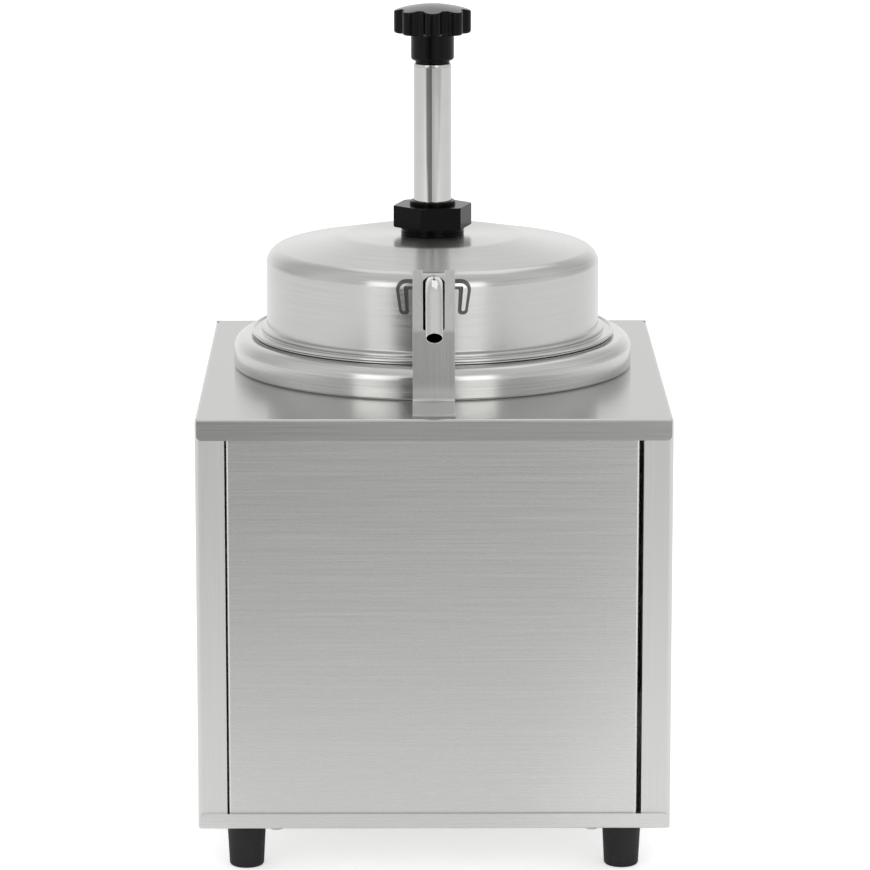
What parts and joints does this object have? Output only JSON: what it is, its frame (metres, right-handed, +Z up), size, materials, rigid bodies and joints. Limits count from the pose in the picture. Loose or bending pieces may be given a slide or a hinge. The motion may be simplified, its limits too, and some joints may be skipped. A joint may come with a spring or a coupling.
{
  "type": "hot fudge topping warmer",
  "caption": "Countertop topping warmer: steel cabinet with heated bath, lift-out crock, domed lid with a star-knob hand pump, bent spout held in a fork, black feet.",
  "frame": {"origin": "middle of the object's footprint, on the surface that the feet stand on", "axes": "+X to the right seen from the front, +Y from the front towards the back, +Z up along the pump's stroke"},
  "size_m": [0.235, 0.3006, 0.42],
  "materials": {
    "cabinet_steel": "fine horizontal brushing",
    "bath_steel": "circumferential brushing",
    "crock_steel": "circumferential brushing",
    "lid_steel": "circumferential brushing",
    "fork_steel": "fine vertical brushing",
    "tube_steel": "polished",
    "sleeve_chrome": "mirror polished",
    "pump_steel": "turned",
    "black_moulded": "satin moulded",
    "nut_black": "satin moulded",
    "foot_rubber": "matt",
    "fastener_zinc": "zinc plated",
    "heater_aluminium": "cast",
    "element_sheath": "heat tinted",
    "insert_brass": "turned",
    "seal_silicone": "food silicone",
    "valve_polymer": "white machined",
    "ball_steel": "polished",
    "spring_steel": "drawn wire",
    "control_black": "moulded",
    "lens_amber": "translucent",
    "terminal_white": "moulded"
  },
  "bodies": {
    "cabinet": {"outer_wrapper": "cabinet_steel", "base_tray": "cabinet_steel", "front_panel": "cabinet_steel", "rear_panel": "cabinet_steel", "feet": "foot_rubber", "foot_screws": "fastener_zinc", "foot_nuts": "fastener_zinc", "base_screws": "fastener_zinc", "base_nuts": "fastener_zinc", "bath_collar": "bath_steel", "water_bath": "bath_steel", "heater_stud": "fastener_zinc", "heater_plate": "heater_aluminium", "heating_element": "element_sheath", "clamp_plate": "fastener_zinc", "clamp_nut": "fastener_zinc", "spout_fork": "fork_steel", "thermostat_body": "control_black", "thermostat_screws": "fastener_zinc", "thermostat_bulb": "pump_steel", "bulb_clip": "fastener_zinc", "switch_frame": "control_black", "pilot_lamp": "control_black", "pilot_lens": "lens_amber", "cable_gland": "control_black", "gland_locknut": "control_black", "terminal_block": "terminal_white", "terminal_screws": "fastener_zinc", "earth_stud": "fastener_zinc", "earth_nut": "fastener_zinc"},
    "crock": {"crock": "crock_steel"},
    "lid_pump": {"lid_dome": "lid_steel", "spout_ears": "lid_steel", "pump_bush": "nut_black", "lid_washer": "nut_black", "pump_nut": "nut_black", "pump_cylinder": "pump_steel", "valve_block": "valve_polymer", "valve_retainer": "pump_steel", "discharge_tube": "tube_steel", "riser_nut": "fastener_zinc"},
    "plunger": {"star_knob": "black_moulded", "knob_insert": "insert_brass", "sleeve_cap": "sleeve_chrome", "plunger_sleeve": "sleeve_chrome", "stop_collar": "pump_steel", "plunger_rod": "pump_steel", "piston": "valve_polymer", "piston_seals": "seal_silicone", "rod_nut": "fastener_zinc", "return_spring": "spring_steel"},
    "foot_ball": {"foot_ball": "ball_steel"},
    "discharge_ball": {"discharge_ball": "ball_steel"},
    "thermostat_dial": {"thermostat_dial": "control_black", "thermostat_shaft": "pump_steel"},
    "rocker": {"rocker": "control_black"}
  },
  "joints": [
    {"name": "crock_lift", "type": "slide", "parent": "cabinet", "child": "crock", "axis": [0, 0, 1], "range_m": [0, 0.21]},
    {"name": "lid_lift", "type": "slide", "parent": "crock", "child": "lid_pump", "axis": [0, 0, 1], "range_m": [0, 0.205]},
    {"name": "plunger_press", "type": "slide", "parent": "lid_pump", "child": "plunger", "axis": [0, 0, -1], "range_m": [0, 0.06], "stiffness_N_per_m": 250, "springref_m": -0.02, "deforming": ["return_spring"]},
    {"name": "foot_ball_lift", "type": "slide", "parent": "lid_pump", "child": "foot_ball", "axis": [0, 0, 1], "range_m": [0, 0.0035]},
    {"name": "discharge_ball_lift", "type": "slide", "parent": "lid_pump", "child": "discharge_ball", "axis": [0, 0, 1], "range_m": [0, 0.004]},
    {"name": "dial_turn", "type": "hinge", "parent": "cabinet", "child": "thermostat_dial", "pos_m": [-0.048, 0.137, 0.083], "axis": [0, -1, 0], "range_deg": [0, 270]},
    {"name": "rocker_tip", "type": "hinge", "parent": "cabinet", "child": "rocker", "pos_m": [0.006, 0.135, 0.083], "axis": [1, 0, 0], "range_deg": [0, 18]}
  ]
}
